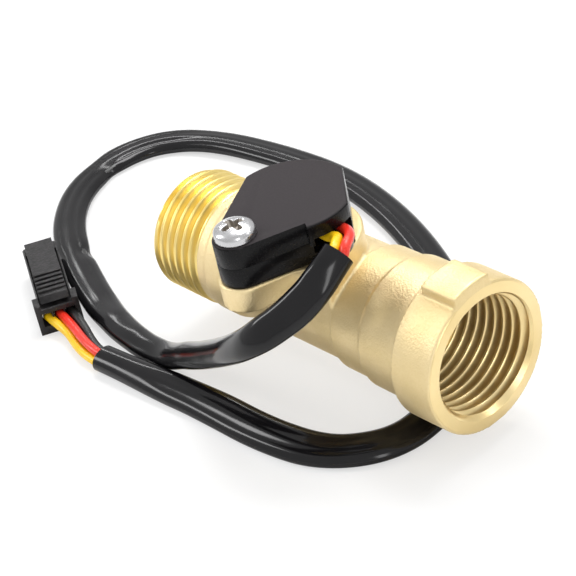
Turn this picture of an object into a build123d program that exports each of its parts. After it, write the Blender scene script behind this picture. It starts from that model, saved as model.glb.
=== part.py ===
"""Water flow sensor: a cast brass pipe body with a turbine inside and a Hall sensor housing on top.

Millimetres. +X runs along the pipe to the female end, +Z up through the sensor housing.
The origin is on the pipe's axis, where the female thread starts behind its mouth chamfer.
"""
from math import asin, cos, degrees, pi, radians, sin, tan
import os

from build123d import *

# Pipe threads, G 1/2, and the overall length of the body
thread_major_r = 10.478
thread_minor_r = 9.316
body_length = 66.5
mouth_chamfer = 1.2
mouth_chamfer_r = 10.25
female_depth = 14.6
male_length = 11.5
male_chamfer = 0.9
male_bore_r = 7.3

# Outside of the casting, from the female end to the male end
end_ring_r = 12.4
end_ring_length = 8.1
second_ring_r = 10.95
second_ring_length = 8.5
third_ring_r = 10.35
third_ring_length = 6.7
barrel_r = 9.75
neck_r = 10.3
neck_length = 2.1
shoulder_r = 10.45
shoulder_length = 4.6
step_fillet = 0.45

# Raised lug on the end ring
lug_height = 1.6
lug_width = 7.4
lug_length = 7.0
lug_turn = 2.8

# Pad that carries the sensor housing
pad_top = 13.7
pad_thickness = 4.2
pad_margin = 0.4
pad_lobe_margin = 0.1
pad_fillet = 0.5
saddle_width = 18.0

# Sensor housing: a round lobe over the rotor and a boss for the one screw
lobe_x = -31.4
lobe_y = -5.1
lobe_r = 10.05
boss_r = 3.7
boss_reach = 12.11
boss_turn = 4.0
base_height = 3.6
cover_height = 3.7
base_floor = 0.8
cover_top = 1.3
housing_wall = 1.4
side_step = 1.25
back_step = 1.4
back_turn = 50.0
tongue_height = 0.9
tongue_wall = 0.7
tongue_gap = 0.1
rim_from = -28.0
exit_from = -24.0
exit_to = 20.0
exit_drop = 2.1
exit_rise = 1.2
peg_r = 1.1
peg_length = 1.6
peg_gap = 0.1
peg_back = 6.9

# Cover screw
screw_r = 1.7
screw_gap = 0.2
tapped_gap = 0.05
screw_head_r = 3.3
screw_head_height = 2.2
screw_grip = 3.2
recess_width = 0.9
recess_depth = 1.0
cover_fillet = 0.4

# Circuit board, its parts and the Hall chip below it
board_gap = 0.13
board_thickness = 1.0
board_drop = 1.1
board_rest = 0.8
chip_size = 4.0
chip_thickness = 1.5
chip_depth = 3.0
lead_pitch = 1.27
lead_width = 0.4
lead_gap = 0.1
lead_reach = 0.8
lead_above = 0.4
chip_gap = 0.186
small_part_side = 2.2
small_part_x = 3.2
solder_x = 2.4
resistor_size = (2.0, 1.25, 0.5)
capacitor_size = (2.0, 1.25, 0.9)
solder_r = 0.9
solder_height = 0.5

# Turbine cartridge in the chamber
chamber_r = 8.1
cartridge_gap = 0.06
clip_groove_r = 8.8
clip_thickness = 1.0
clip_wall = 1.5
clip_opening = 50.0
clip_ear_r = 1.3
clip_gap = 0.05
guide_length = 4.8
guide_ring_wall = 1.7
guide_hub_r = 2.3
guide_vanes = 5
guide_twist = 24.0
nose_length = 2.2
seal_r = 0.55
seal_squeeze = 0.01
cage_wall = 0.8
spider_length = 3.0
spider_legs = 4
spider_leg_width = 1.2
shaft_r = 0.75
shaft_seat = 2.0
washer_r = 1.7
washer_thickness = 0.5
washer_gap = 0.03
end_play = 0.15
running_gap = 0.04
tip_gap = 0.45
magnet_length = 5.0
magnet_r = 4.1
spigot_r = 2.5
magnet_fit = 0.02
blade_count = 6
blade_length = 7.0
blade_thickness = 1.0
blade_twist = 46.0

# Cable: three wires in a soft sleeve, and the connector at its end
sleeve_r = 2.15
wire_r = 0.8
wire_pitch = 1.95
plug_length = 19.6
plug_width = 6.2
plug_height = 5.9
plug_turn = 151.0
flange_length = 3.0
flange_width = 7.8
cavity_width = 1.8
cavity_height = 2.6
cavity_pitch = 2.1
cavity_z = 2.9
wire_in_plug = 1.6
socket_width = 4.6
socket_height = 3.7
socket_depth = 7.0
terminal_length = 9.0
terminal_gap = 0.1
terminal_wall = 0.3
latch_width = 5.0
latch_thickness = 0.9
latch_lift = 0.8
latch_foot = 2.4
latch_tip = 1.0
latch_start = 0.6
latch_side_gap = 0.3
plug_chamfer = 0.3
window_drop = 1.2
rib_count = 5
rib_pitch = 1.35
rib_height = 0.35
rib_start = 2.0
window_from_rear = 13.2
window_length = 2.2
window_height = 1.6
floor_z = -16.1

os.makedirs("parts", exist_ok=True)

# Stations along X
mouth_x = mouth_chamfer
tail_x = mouth_x - body_length
ring_x = mouth_x - end_ring_length
second_x = ring_x - second_ring_length
third_x = second_x - third_ring_length
thread_x = tail_x + male_length
neck_x = thread_x + neck_length
shoulder_x = neck_x + shoulder_length

# The turbine sits so that its magnet is below the Hall chip
magnet_x = lobe_x + magnet_length / 2
rotor_x = magnet_x + blade_length
rotor_back_x = magnet_x - magnet_length - end_play
guide_x = rotor_x + end_play + washer_thickness + washer_gap
clip_x = guide_x + guide_length
spider_x = rotor_back_x - end_play - washer_thickness - washer_gap
seat_x = spider_x - spider_length
cage_r = chamber_r - cartridge_gap
rotor_room_r = cage_r - cage_wall
blade_r = rotor_room_r - tip_gap
bore_wall_r = thread_major_r + 0.5

# Heights in the sensor housing
seam_z = pad_top + base_height
roof_z = seam_z + cover_height
base_inside_z = pad_top + base_floor
board_z = seam_z - board_drop
board_top_z = board_z + board_thickness
pad_bottom = pad_top - pad_thickness
exit_low = seam_z - exit_drop
exit_high = seam_z + exit_rise

# The tongue stands inside the cover's wall, and the square board fits inside the tongue
tongue_outside = housing_wall + tongue_gap
board_room = lobe_r - back_step - tongue_outside - tongue_wall - board_gap
board_size = 2 * board_room / (cos(radians(back_turn)) + sin(radians(back_turn)))

# The well below the board holds the chip against its far side
well_size = board_size - 2 * board_rest
chip_y = lobe_y + well_size / 2 - chip_gap - chip_depth / 2

# Where the screw boss stands
boss_x = lobe_x + boss_reach * sin(radians(boss_turn))
boss_y = lobe_y - boss_reach * cos(radians(boss_turn))


def rod(x_from, x_to, radius):
    """A cylinder along the pipe's axis."""
    low = min(x_from, x_to)
    return Pos(low, 0, 0) * Rot(0, 90, 0) * extrude(Circle(radius), abs(x_to - x_from))


def tube(x_from, x_to, outer, inner):
    return rod(x_from, x_to, outer) - rod(x_from, x_to, inner)


def cone(x_from, r_from, x_to, r_to):
    """A truncated cone along the pipe's axis."""
    side = Polyline((x_from, 0), (x_from, r_from), (x_to, r_to), (x_to, 0), close=True)
    return revolve(Plane.XZ * make_face(side), Axis.X)


def around_axis(shape, angle):
    return Rot(angle, 0, 0) * shape


def twisted_blade(x_from, length, r_from, r_to, thickness, twist):
    """A blade that stands out from the axis and turns about it along its length."""
    middle = (r_from + r_to) / 2
    steps = 4
    sections = []
    for step in range(steps + 1):
        share = step / steps
        section = Pos(0, 0, middle) * Rot(0, 90, 0) * Rectangle(r_to - r_from, thickness)
        sections.append(Pos(x_from + share * length, 0, 0) * around_axis(section, share * twist))
    return loft(sections)


def teardrop(lobe, boss):
    """The housing's outline: a lobe and a boss with their common tangents."""
    circles = Sketch() + Pos(lobe_x, lobe_y) * Circle(lobe) + Pos(boss_x, boss_y) * Circle(boss)
    return make_hull(circles.edges())


def plate(outline, z_from, z_to):
    return Pos(0, 0, z_from) * extrude(outline, z_to - z_from)


def post(x, y, radius, z_from, z_to):
    return Pos(x, y, z_from) * extrude(Circle(radius), z_to - z_from)


def flat_cut(turn, step, inset):
    """The half plane outside a flat on the lobe, a step in from its circle and then an inset."""
    away = lobe_r - step - inset + lobe_r
    return Pos(lobe_x, lobe_y) * Rot(0, 0, turn) * Pos(away, 0) * Rectangle(2 * lobe_r, 8 * lobe_r)


def side_cut(side, inset):
    """The flat that runs from the lobe to the boss: beside the wires, side 1, or behind, side -1."""
    lean = degrees(asin((lobe_r - side_step - boss_r) / boss_reach))
    turn = boss_turn - lean if side > 0 else 180 + boss_turn + lean
    return flat_cut(turn, side_step, inset)


def back_cut(inset):
    """The short flat on the lobe's far corner, towards the female end."""
    return flat_cut(back_turn, back_step, inset)


def sector(angle_from, angle_to, reach):
    """A wedge of the plan around the lobe's centre."""
    corners = [(0, 0)]
    for angle in (angle_from, (angle_from + angle_to) / 2, angle_to):
        corners.append((reach * cos(radians(angle)), reach * sin(radians(angle))))
    return Pos(lobe_x, lobe_y) * make_face(Polyline(corners, close=True))


def wire_exit(radius, z_from, z_to):
    """The sector of the lobe that stays open for the wires."""
    far = radius + housing_wall
    ring = Pos(lobe_x, lobe_y) * (Circle(far) - Circle(radius / 2))
    return plate(sector(exit_from, exit_to, 2 * far) & ring, z_from, z_to)


def lug():
    """The raised lug cast on the end ring, curved like the ring."""
    block = Box(lug_length, lug_width, end_ring_r + lug_height, align=(Align.MAX, Align.CENTER, Align.MIN))
    curved = rod(mouth_x - lug_length, mouth_x, end_ring_r + lug_height)
    core = rod(mouth_x - lug_length, mouth_x, bore_wall_r)
    return around_axis((Pos(mouth_x, 0, 0) * block & curved) - core, lug_turn)


def pad():
    """The flat pad for the housing: it overhangs at the boss, and a saddle carries its lobe."""
    lobe = Pos(lobe_x, lobe_y) * Circle(lobe_r + pad_lobe_margin)
    block = plate(teardrop(lobe_r - side_step + pad_margin, boss_r + pad_margin) + lobe, pad_bottom, pad_top)
    top_edges = block.faces().sort_by(Axis.Z)[-1].edges()
    saddle = lobe & Pos(lobe_x, 0) * Rectangle(4 * lobe_r, saddle_width)
    return fillet(top_edges, pad_fillet) + plate(saddle, barrel_r / 3, pad_bottom)


def make_body():
    """The brass casting with its bores, thread cores, lug and housing pad."""
    body = revolve(Plane.XZ * make_face(Polyline(
        (tail_x, 0),
        (tail_x, thread_major_r - male_chamfer),
        (tail_x + male_chamfer, thread_major_r),
        (thread_x, thread_major_r),
        (thread_x, neck_r),
        (neck_x, neck_r),
        (neck_x, shoulder_r),
        (shoulder_x - shoulder_r + barrel_r, shoulder_r),
        (shoulder_x, barrel_r),
        (third_x, barrel_r),
        (third_x, third_ring_r),
        (second_x, third_ring_r),
        (second_x, second_ring_r),
        (ring_x, second_ring_r),
        (ring_x, end_ring_r),
        (mouth_x, end_ring_r),
        (mouth_x, 0),
        close=True,
    )), Axis.X)
    steps = [edge for edge in body.edges().filter_by(GeomType.CIRCLE) if is_cast_step(edge)]
    body = fillet(steps, step_fillet)
    body += pad() + lug()
    body -= cone(mouth_x, mouth_chamfer_r, 0, thread_minor_r)
    body -= rod(-female_depth, 0, thread_minor_r)
    body -= rod(seat_x, -female_depth, chamber_r)
    body -= rod(clip_x, clip_x + clip_thickness, clip_groove_r)
    body -= rod(tail_x, seat_x, male_bore_r)
    body -= post(boss_x, boss_y, screw_r + tapped_gap, pad_bottom, pad_top)
    body -= post(lobe_x, lobe_y + peg_back, peg_r + peg_gap, pad_top - peg_length - peg_gap, pad_top)
    return body


def is_cast_step(edge):
    """Whether a circular edge is the outer corner of one of the cast rings."""
    x = edge.center().X
    corners = ((ring_x, end_ring_r), (second_x, second_ring_r), (third_x, third_ring_r))
    return any(abs(x - at) < 0.01 and abs(edge.radius - radius) < 0.01 for at, radius in corners)


def make_retaining_ring():
    """A spring clip in its groove that keeps the cartridge in."""
    outer = clip_groove_r - clip_gap
    ring = tube(clip_x + clip_gap, clip_x + clip_thickness - clip_gap, outer, outer - clip_wall)
    half = radians(clip_opening / 2)
    wedge = make_face(Polyline(
        (0, 0),
        (-2 * outer * sin(half), -2 * outer * cos(half)),
        (2 * outer * sin(half), -2 * outer * cos(half)),
        close=True,
    ))
    ring -= Plane.YZ.offset(clip_x) * extrude(wedge, clip_thickness)
    for side in (-1, 1):
        turn = side * (clip_opening / 2 + degrees(clip_ear_r / outer))
        ear = Pos(0, 0, -(outer - clip_ear_r)) * Rot(0, 90, 0)
        ear = ear * (Circle(clip_ear_r) - Circle(clip_ear_r / 2))
        ear = extrude(ear, clip_thickness - 2 * clip_gap)
        hole = Pos(0, 0, -(outer - clip_ear_r)) * Rot(0, 90, 0) * Circle(clip_ear_r / 2)
        ring += Pos(clip_x + clip_gap, 0, 0) * around_axis(ear, turn)
        ring -= Pos(clip_x, 0, 0) * around_axis(extrude(hole, clip_thickness), turn)
    return ring


def make_flow_guide():
    """The inlet piece: an outer ring, straightening vanes and a domed hub that holds the shaft."""
    ring_inner = cage_r - guide_ring_wall
    guide = tube(guide_x, clip_x, cage_r, ring_inner)
    guide += rod(guide_x, clip_x - nose_length, guide_hub_r)
    guide += Pos(clip_x - nose_length, 0, 0) * scale(Sphere(guide_hub_r), (nose_length / guide_hub_r, 1, 1))
    step = 360 / guide_vanes
    overlap = guide_ring_wall / 2
    for number in range(guide_vanes):
        vane = twisted_blade(
            guide_x, guide_length - nose_length, guide_hub_r - overlap, ring_inner + overlap, blade_thickness, guide_twist
        )
        guide += around_axis(vane, number * step)
    groove_r = chamber_r - 2 * seal_r - seal_squeeze
    middle = (guide_x + clip_x) / 2
    guide -= tube(middle - 1.2 * seal_r, middle + 1.2 * seal_r, chamber_r, groove_r)
    guide -= rod(guide_x, guide_x + shaft_seat, shaft_r)
    return guide


def make_seal():
    """The O-ring in the guide's groove."""
    centre_r = chamber_r - seal_r - seal_squeeze
    return Pos((guide_x + clip_x) / 2, 0, 0) * Rot(0, 90, 0) * Torus(centre_r, seal_r - seal_squeeze)


def make_cage():
    """The cartridge tube with the rear spider that holds the shaft's other end."""
    cage = tube(spider_x - spider_length, guide_x, cage_r, rotor_room_r)
    cage += rod(seat_x, spider_x, guide_hub_r)
    for number in range(spider_legs):
        leg = Box(spider_length, spider_leg_width, rotor_room_r + cage_wall / 2, align=(Align.MIN, Align.CENTER, Align.MIN))
        cage += around_axis(Pos(seat_x, 0, 0) * leg, number * 360 / spider_legs)
    cage -= rod(spider_x - shaft_seat, spider_x, shaft_r)
    return cage


def make_washer(x_from):
    return tube(x_from, x_from + washer_thickness, washer_r, shaft_r + washer_gap)


def make_impeller():
    """The turbine wheel: a hub with twisted blades, and a spigot behind it for the magnet."""
    wheel = rod(magnet_x, rotor_x, magnet_r)
    wheel += rod(rotor_back_x + end_play, magnet_x, spigot_r)
    for number in range(blade_count):
        blade = twisted_blade(magnet_x, blade_length, spigot_r, blade_r, blade_thickness, -blade_twist)
        wheel += around_axis(blade, number * 360 / blade_count)
    wheel = wheel & rod(rotor_back_x, rotor_x, blade_r)
    wheel -= rod(rotor_back_x, rotor_x, shaft_r + running_gap)
    return wheel


def make_magnet():
    return tube(magnet_x - magnet_length, magnet_x, magnet_r, spigot_r + magnet_fit)


def room_outline(inset):
    """The inside of the lobe, a wall or more in from its outline."""
    room = Pos(lobe_x, lobe_y) * Circle(lobe_r - inset)
    return room - side_cut(1, inset) - side_cut(-1, inset) - back_cut(inset)


def make_base():
    """The lower half of the sensor housing, with a ledge for the board and a tongue for the cover."""
    outline = teardrop(lobe_r, boss_r) - side_cut(1, 0) - side_cut(-1, 0) - back_cut(0)
    base = plate(outline, pad_top, seam_z)
    base += post(lobe_x, lobe_y + peg_back, peg_r, pad_top - peg_length, pad_top)
    under = Pos(lobe_x, lobe_y) * Rectangle(well_size, well_size)
    base -= plate(under, base_inside_z, board_z)
    inside = room_outline(tongue_outside + tongue_wall)
    base -= plate(inside, board_z, seam_z)
    tongue = plate(room_outline(tongue_outside) - inside, seam_z, seam_z + tongue_height)
    base += tongue
    base -= wire_exit(lobe_r, exit_low, exit_high)
    return base - post(boss_x, boss_y, screw_r + screw_gap, pad_top, seam_z)


def make_cover():
    """The upper half: a lid with a flat beside the wires and a rim over the open side for them."""
    flat = side_cut(1, 0) - sector(rim_from, 80, 4 * lobe_r)
    cover = plate(teardrop(lobe_r, boss_r) - side_cut(-1, 0) - back_cut(0), seam_z, roof_z)
    cover = fillet(cover.faces().sort_by(Axis.Z)[-1].edges(), cover_fillet)
    cover -= plate(flat, seam_z, roof_z)
    cover -= plate(room_outline(housing_wall), seam_z, roof_z - cover_top)
    cover -= wire_exit(lobe_r, seam_z, exit_high)
    return cover - post(boss_x, boss_y, screw_r + screw_gap, seam_z, roof_z)


def make_screw():
    """The cover screw: a domed pan head with a cross recess over a plain shank."""
    head = post(boss_x, boss_y, screw_head_r, roof_z, roof_z + screw_head_height)
    head = fillet(head.faces().sort_by(Axis.Z)[-1].edges(), 0.7 * screw_head_height)
    arm = Rectangle(1.2 * screw_head_r, recess_width) + Rectangle(recess_width, 1.2 * screw_head_r)
    top = roof_z + screw_head_height
    head -= plate(Pos(boss_x, boss_y) * Rot(0, 0, 45) * arm, top - recess_depth, top)
    return head + post(boss_x, boss_y, screw_r, pad_top - screw_grip, roof_z)


def lead_places():
    """Where the Hall chip's three leads stand, in plan."""
    y = chip_y - chip_depth / 2 - lead_reach
    return [(lobe_x + number * lead_pitch, y) for number in (-1, 0, 1)]


def make_board():
    outline = Pos(lobe_x, lobe_y) * Rectangle(board_size, board_size)
    for x, y in lead_places():
        outline -= Pos(x, y) * Rectangle(lead_width + 2 * lead_gap, lead_width + 2 * lead_gap)
    return plate(outline, board_z, board_top_z)


def make_hall_chip():
    """The Hall chip flat on the housing's floor, with its leads bent up through the board."""
    case = plate(Pos(lobe_x, chip_y) * Rectangle(chip_size, chip_depth), base_inside_z, base_inside_z + chip_thickness)
    chip = chamfer(case.faces().sort_by(Axis.Z)[-1].edges(), chip_thickness / 5)
    middle_z = base_inside_z + chip_thickness / 2
    for lead_x, lead_y in lead_places():
        foot = Pos(lead_x, (lead_y + chip_y) / 2) * Rectangle(lead_width, chip_y - lead_y + lead_width)
        chip += plate(foot, middle_z - lead_width / 2, middle_z + lead_width / 2)
        leg = Pos(lead_x, lead_y) * Rectangle(lead_width, lead_width)
        chip += plate(leg, middle_z - lead_width / 2, board_top_z + lead_above)
    return chip


def make_board_part(side, size):
    """A small block with a metal cap at each end, soldered flat on the board."""
    length, width, height = size
    place = Pos(lobe_x - small_part_x, lobe_y + side * small_part_side, board_top_z)
    block = Box(width, length, height, align=(Align.CENTER, Align.CENTER, Align.MIN))
    waist = Box(width, length * 0.6, height, align=(Align.CENTER, Align.CENTER, Align.MIN))
    waist = waist - Box(width * 0.94, length * 0.6, height * 0.94, align=(Align.CENTER, Align.CENTER, Align.MIN))
    return place * (block - waist)


def solder_place(number):
    return lobe_x + solder_x, lobe_y + number * wire_pitch


def make_solder():
    """Three domes of solder that hold the wires' ends on the board."""
    joints = []
    for number in (-1, 0, 1):
        x, y = solder_place(number)
        dome = post(x, y, solder_r, board_top_z, board_top_z + solder_height)
        joints.append(chamfer(dome.faces().sort_by(Axis.Z)[-1].edges(), solder_height / 2))
    return Compound(joints)


def corner_radii(points):
    """The largest arc that each corner of a soft path leaves room for."""
    radii = []
    for before, here, after in zip(points, points[1:], points[2:]):
        run_in = Vector(here) - Vector(before)
        run_out = Vector(after) - Vector(here)
        turn = radians(run_in.get_angle(run_out))
        radii.append(0.45 * min(run_in.length, run_out.length) / tan(turn / 2))
    return radii


def soft_tube(name, points, radius):
    """A plain tube along a path of straight runs joined by arcs."""
    radii = corner_radii(points)
    path = FilletPolyline(*points, radius=radii) if radii else Line(*points)
    heading = Vector(points[1]) - Vector(points[0])
    tube_body = sweep(Plane(origin=points[0], z_dir=heading) * Circle(radius), path=path)
    print(name, "smallest radius", round(min(radii), 2) if radii else "straight",
          "length", round(path.length, 1), "volume ratio",
          round(tube_body.volume / (pi * radius * radius * path.length), 4))
    return tube_body


# The sleeve's path: down beside the housing, along the pipe, round in a loop and on to the connector
sleeve_points = [
    (-17.1, -9.2, 17.8),
    (-17.0, -12.6, 16.2),
    (-18.1, -15.9, 13.4),
    (-20.8, -18.8, 10.3),
    (-25.0, -22.7, 6.9),
    (-31.6, -22.2, 2.2),
    (-38.6, -20.4, -2.6),
    (-45.3, -19.0, -6.8),
    (-51.9, -17.9, -10.3),
    (-58.6, -17.2, -12.8),
    (-65.6, -16.9, -13.95),
    (-73.0, -15.6, -13.95),
    (-81.0, -13.2, -13.95),
    (-90.0, -9.6, -13.95),
    (-99.5, -5.2, -13.95),
    (-108.6, 1.0, -13.95),
    (-115.2, 9.6, -13.95),
    (-117.2, 20.4, -13.95),
    (-113.0, 29.8, -13.95),
    (-102.8, 34.8, -13.95),
    (-89.0, 37.3, -13.95),
    (-74.0, 38.2, -13.95),
    (-58.8, 35.4, -13.95),
    (-43.4, 29.6, -13.95),
    (-29.0, 21.6, -13.95),
    (-17.2, 11.4, -13.95),
    (-10.8, 0.4, -13.95),
    (-10.4, -11.0, -13.95),
    (-18.0, -19.2, -13.95),
    (-30.0, -21.4, -13.95),
    (-43.0, -21.4, -13.95),
    (-56.0, -22.4, -13.95),
    (-68.2, -23.3, -13.95),
]
sleeve_start = Plane(
    origin=sleeve_points[0], x_dir=(1, 0, 0), z_dir=Vector(sleeve_points[1]) - Vector(sleeve_points[0])
)
sleeve_end = Plane(
    origin=sleeve_points[-1], x_dir=(0, 0, 1), z_dir=Vector(sleeve_points[-1]) - Vector(sleeve_points[-2])
)

# The connector lies on the surface: its own X runs from the wire end to the front
plug = Plane(
    origin=(-83.15, -20.6, floor_z), x_dir=(cos(radians(plug_turn)), sin(radians(plug_turn)), 0), z_dir=(0, 0, 1)
)


def at_plane(plane, x, y, z):
    return tuple(plane.from_local_coords(Vector(x, y, z)))


def sensor_tail(number, side, up, middle_points, last_run):
    """A wire from its solder joint to the sleeve's mouth."""
    x, y = solder_place(number)
    points = [(x, y, board_top_z + solder_height + wire_r)] + middle_points
    points.append(at_plane(sleeve_start, side, up, -last_run))
    points.append(at_plane(sleeve_start, side, up, 0))
    return points


def plug_tail(number, side, up, middle_points, last_run):
    """A wire from the sleeve's end into its cavity in the connector."""
    points = [at_plane(sleeve_end, up, side, 0), at_plane(sleeve_end, up, side, last_run)] + middle_points
    points.append(at_plane(plug, -last_run, -number * cavity_pitch, cavity_z))
    points.append(at_plane(plug, wire_in_plug, -number * cavity_pitch, cavity_z))
    return points


def make_wire(name, tails):
    return Compound([soft_tube(name, points, wire_r) for points in tails])


def make_connector():
    """The connector housing: three cavities, a front socket, a flange and a sprung latch arm."""
    length_of = (Align.MIN, Align.CENTER, Align.MIN)
    body = Box(plug_length, plug_width, plug_height, align=length_of)
    body = chamfer(body.edges().filter_by(Axis.X), plug_chamfer)
    body += Box(flange_length, flange_width, plug_height, align=length_of)
    under_arm = Box(plug_length - latch_foot, latch_width + 2 * latch_side_gap, latch_lift, align=length_of)
    body -= Pos(0, 0, plug_height - latch_lift) * under_arm
    arm = Polyline(
        (latch_start, plug_height),
        (latch_start + latch_tip, plug_height + latch_thickness),
        (plug_length, plug_height + latch_thickness),
        (plug_length, plug_height - latch_lift),
        (plug_length - latch_foot, plug_height - latch_lift),
        (plug_length - latch_foot, plug_height),
        close=True,
    )
    body += extrude(Plane.XZ.offset(-latch_width / 2) * make_face(arm), latch_width)
    for number in range(rib_count):
        rib = Box(rib_pitch / 2, latch_width, rib_height, align=length_of)
        body += Pos(latch_start + rib_start + number * rib_pitch, 0, plug_height + latch_thickness) * rib
    for number in (-1, 0, 1):
        cavity = Box(plug_length, cavity_width, cavity_height, align=(Align.MIN, Align.CENTER, Align.CENTER))
        body -= Pos(-0.01, number * cavity_pitch, cavity_z) * cavity
    socket = Box(socket_depth, socket_width, socket_height, align=(Align.MAX, Align.CENTER, Align.CENTER))
    body -= Pos(plug_length, 0, cavity_z) * socket
    window = Box(window_length, plug_width / 2, window_height, align=(Align.MIN, Align.MAX, Align.MAX))
    for side in (-1, 1):
        place = Pos(window_from_rear, 0, plug_height - window_drop)
        body -= place * (window if side < 0 else mirror(window, about=Plane.XZ))
    return plug * body


def make_terminals():
    """Three crimped contacts: a box at the front, and a barrel behind it that meets the wire."""
    width = cavity_width - 2 * terminal_gap
    height = cavity_height - 2 * terminal_gap
    contacts = []
    for number in (-1, 0, 1):
        box_part = Box(terminal_length / 2, width, height, align=(Align.MAX, Align.CENTER, Align.CENTER))
        inside = (width - 2 * terminal_wall, height - 2 * terminal_wall)
        box_part -= Box(terminal_length / 2 - terminal_wall, *inside, align=(Align.MAX, Align.CENTER, Align.CENTER))
        box_part = Pos(terminal_length, 0, 0) * box_part
        barrel = Rot(0, 90, 0) * extrude(Circle(wire_r), terminal_length / 2)
        contact = barrel + box_part
        contacts.append(plug * (Pos(wire_in_plug, number * cavity_pitch, cavity_z) * contact))
    return Compound(contacts)


nodes = {
    "brass_body": make_body(),
    "flow_guide": make_flow_guide(),
    "retaining_ring": make_retaining_ring(),
    "insert_o_ring": make_seal(),
    "rotor_cage": make_cage(),
    "rotor_shaft": rod(spider_x - shaft_seat, guide_x + shaft_seat, shaft_r),
    "front_washer": make_washer(rotor_x + end_play),
    "rear_washer": make_washer(spider_x + washer_gap),
    "impeller": make_impeller(),
    "magnet_ring": make_magnet(),
    "sensor_base": make_base(),
    "sensor_cover": make_cover(),
    "cover_screw": make_screw(),
    "circuit_board": make_board(),
    "hall_chip": make_hall_chip(),
    "board_resistor": make_board_part(1, resistor_size),
    "board_capacitor": make_board_part(-1, capacitor_size),
    "solder_joints": make_solder(),
    "cable_sleeve": soft_tube("sleeve", sleeve_points, sleeve_r),
    "red_wire": make_wire("red", [
        sensor_tail(1, 1.25, 0.3, [
            (-26.4, -3.3, 18.55), (-23.9, -3.5, 17.6), (-21.7, -3.8, 17.5), (-19.6, -4.2, 18.2), (-16.9, -5.3, 18.8),
        ], 1.7),
        plug_tail(0, 0, 0.85, [(-75.6, -23.5, -13.15)], 3.0),
    ]),
    "yellow_wire": make_wire("yellow", [
        sensor_tail(-1, -1.25, 0.3, [
            (-26.4, -6.9, 18.55), (-24.1, -6.6, 17.6), (-22.2, -6.5, 17.35), (-20.6, -6.4, 17.9), (-19.1, -6.8, 18.5),
        ], 1.5),
        plug_tail(-1, -1.25, -0.3, [(-76.0, -25.3, -13.9)], 3.0),
    ]),
    "black_wire": make_wire("black", [
        sensor_tail(0, 0, -0.85, [
            (-26.6, -5.1, 18.55), (-24.5, -5.05, 16.9), (-22.3, -5.0, 16.15), (-19.6, -5.0, 16.6), (-17.9, -6.4, 17.4),
        ], 1.2),
        plug_tail(1, 1.25, -0.3, [(-75.0, -22.0, -13.9)], 3.0),
    ]),
    "connector_housing": make_connector(),
    "connector_terminals": make_terminals(),
}

for name, shape in nodes.items():
    export_step(shape, f"parts/{name}.step")
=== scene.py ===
"""The water flow sensor dressed for its picture: cast and machined brass, moulded plastic, a soft
sleeve over three wires, and the plug at their end. Metres, in the same frame as the solids."""
from math import acos, atan2, ceil, cos, exp, pi, radians, sin, sqrt, tau

import bmesh
import bpy
from mathutils import Matrix, Vector, noise


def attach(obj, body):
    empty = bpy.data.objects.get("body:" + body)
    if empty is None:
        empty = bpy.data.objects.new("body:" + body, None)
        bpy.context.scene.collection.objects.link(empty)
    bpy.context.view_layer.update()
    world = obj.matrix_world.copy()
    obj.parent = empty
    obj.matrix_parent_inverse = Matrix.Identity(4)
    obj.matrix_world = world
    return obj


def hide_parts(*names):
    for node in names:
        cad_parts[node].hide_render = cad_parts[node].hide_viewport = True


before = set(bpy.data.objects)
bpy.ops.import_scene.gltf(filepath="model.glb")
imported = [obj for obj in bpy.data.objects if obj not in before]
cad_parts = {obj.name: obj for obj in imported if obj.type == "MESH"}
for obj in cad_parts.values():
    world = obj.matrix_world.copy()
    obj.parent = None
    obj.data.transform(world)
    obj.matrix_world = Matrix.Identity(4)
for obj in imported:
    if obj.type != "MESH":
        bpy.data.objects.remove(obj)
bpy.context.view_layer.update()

# The camera stands where the photographer's did: above the near end, to the right of the pipe,
# and rolled a little, so the pipe runs down to the right
lens = bpy.data.cameras.new("photo_view")
lens.sensor_width = 36
lens.lens = 140.08
lens.clip_start = 0.02
camera = bpy.data.objects.new("photo_view", lens)
camera.matrix_world = Matrix((
    (0.674072, -0.313659, 0.668763, 0.2011136),
    (0.715039, 0.504225, -0.484228, -0.1776234),
    (-0.185325, 0.804596, 0.564163, 0.2021019),
    (0, 0, 0, 1),
))
bpy.context.scene.collection.objects.link(camera)
bpy.context.scene.camera = camera


# The body is one sand casting of brass: three stepped rings, a lug on the end ring and a pad for
# the sensor housing. Its skin keeps the grain of the sand, and its edges are soft from the mould
MM = 0.001


def turned_solid(profile, steps=180):
    """A closed mesh turned about X from a list of (x, r), which starts and ends on the axis."""
    mesh = bmesh.new()
    rings = []
    for x, r in profile:
        if r == 0:
            rings.append([mesh.verts.new((x, 0, 0))])
        else:
            rings.append([mesh.verts.new((x, r * cos(tau * k / steps), r * sin(tau * k / steps)))
                          for k in range(steps)])
    for near, far in zip(rings, rings[1:]):
        for k in range(steps):
            n = (k + 1) % steps
            if len(near) == 1:
                mesh.faces.new((near[0], far[n], far[k]))
            elif len(far) == 1:
                mesh.faces.new((near[k], near[n], far[0]))
            else:
                mesh.faces.new((near[k], near[n], far[n], far[k]))
    bmesh.ops.recalc_face_normals(mesh, faces=mesh.faces)
    return mesh


def slab(outline, z_from, z_to):
    """A closed upright prism from a plan outline."""
    mesh = bmesh.new()
    low = [mesh.verts.new((x, y, z_from)) for x, y in outline]
    high = [mesh.verts.new((x, y, z_to)) for x, y in outline]
    mesh.faces.new(low)
    mesh.faces.new(high)
    for k in range(len(low)):
        n = (k + 1) % len(low)
        mesh.faces.new((low[k], low[n], high[n], high[k]))
    bmesh.ops.recalc_face_normals(mesh, faces=mesh.faces)
    return mesh


def shade_smooth(thing):
    for polygon in thing.data.polygons:
        polygon.use_smooth = True


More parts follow.
